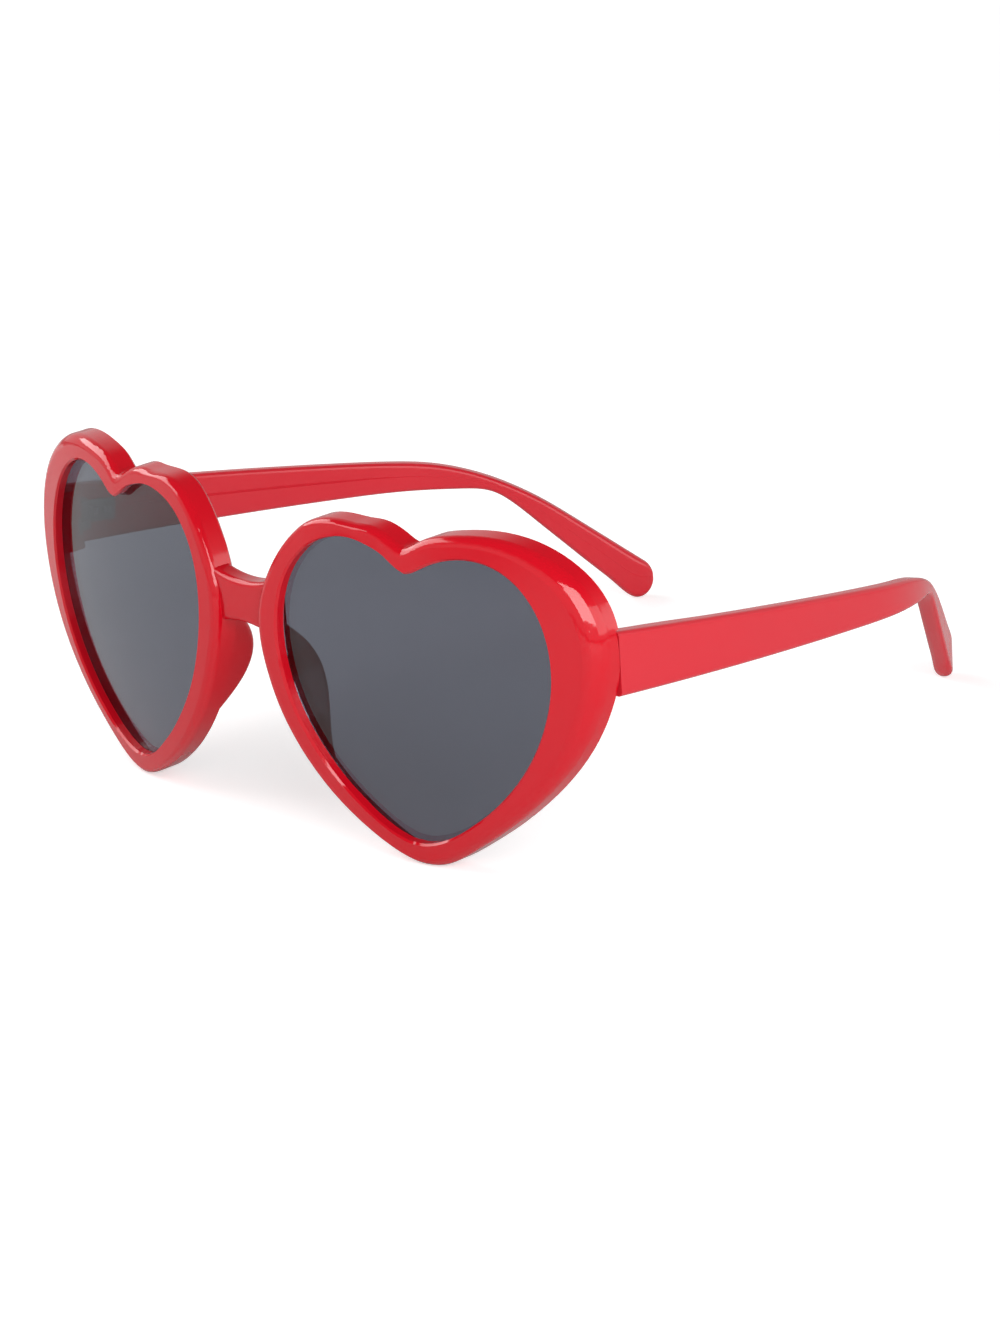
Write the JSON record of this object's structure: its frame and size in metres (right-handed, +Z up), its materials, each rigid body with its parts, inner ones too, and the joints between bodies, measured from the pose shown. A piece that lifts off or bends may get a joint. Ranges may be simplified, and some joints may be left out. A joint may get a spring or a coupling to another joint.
{
  "type": "heart shaped sunglasses",
  "caption": "Sunglasses with a curved moulded front, heart shaped rims and smoke lenses, moulded nose pads and hooked temples that fold on steel barrel hinges.",
  "frame": {"origin": "on the floor under the middle of the glasses as they stand open on both heart points and both temple tips", "axes": "+X to the wearer's left, +Y from the front towards the temple tips, +Z up"},
  "size_m": [0.147, 0.1438, 0.0609],
  "materials": {
    "red_plastic": "glossy moulded red",
    "temple_plastic": "glossy moulded red",
    "smoke_lens": "clear smoke grey, polished",
    "hinge_steel": "satin plated",
    "screw_steel": "bright plated"
  },
  "bodies": {
    "front": {"front_frame": "red_plastic", "lens_left": "smoke_lens", "lens_right": "smoke_lens", "front_hinge_leaf_left": "hinge_steel", "front_hinge_leaf_right": "hinge_steel", "hinge_screw_left": "screw_steel", "hinge_screw_right": "screw_steel", "front_leaf_screws_left": "screw_steel", "front_leaf_screws_right": "screw_steel"},
    "left_temple": {"temple_left": "temple_plastic", "temple_hinge_leaf_left": "hinge_steel", "temple_leaf_screws_left": "screw_steel"},
    "right_temple": {"temple_right": "temple_plastic", "temple_hinge_leaf_right": "hinge_steel", "temple_leaf_screws_right": "screw_steel"}
  },
  "joints": [
    {"name": "left_temple_fold", "type": "hinge", "parent": "front", "child": "left_temple", "pos_m": [0.0683, -0.04943, 0.04041], "axis": [0, -0.0279, 0.9996], "range_deg": [0, 79]},
    {"name": "right_temple_fold", "type": "hinge", "parent": "front", "child": "right_temple", "pos_m": [-0.0683, -0.04943, 0.04041], "axis": [0, 0.0279, -0.9996], "range_deg": [0, 73]}
  ]
}
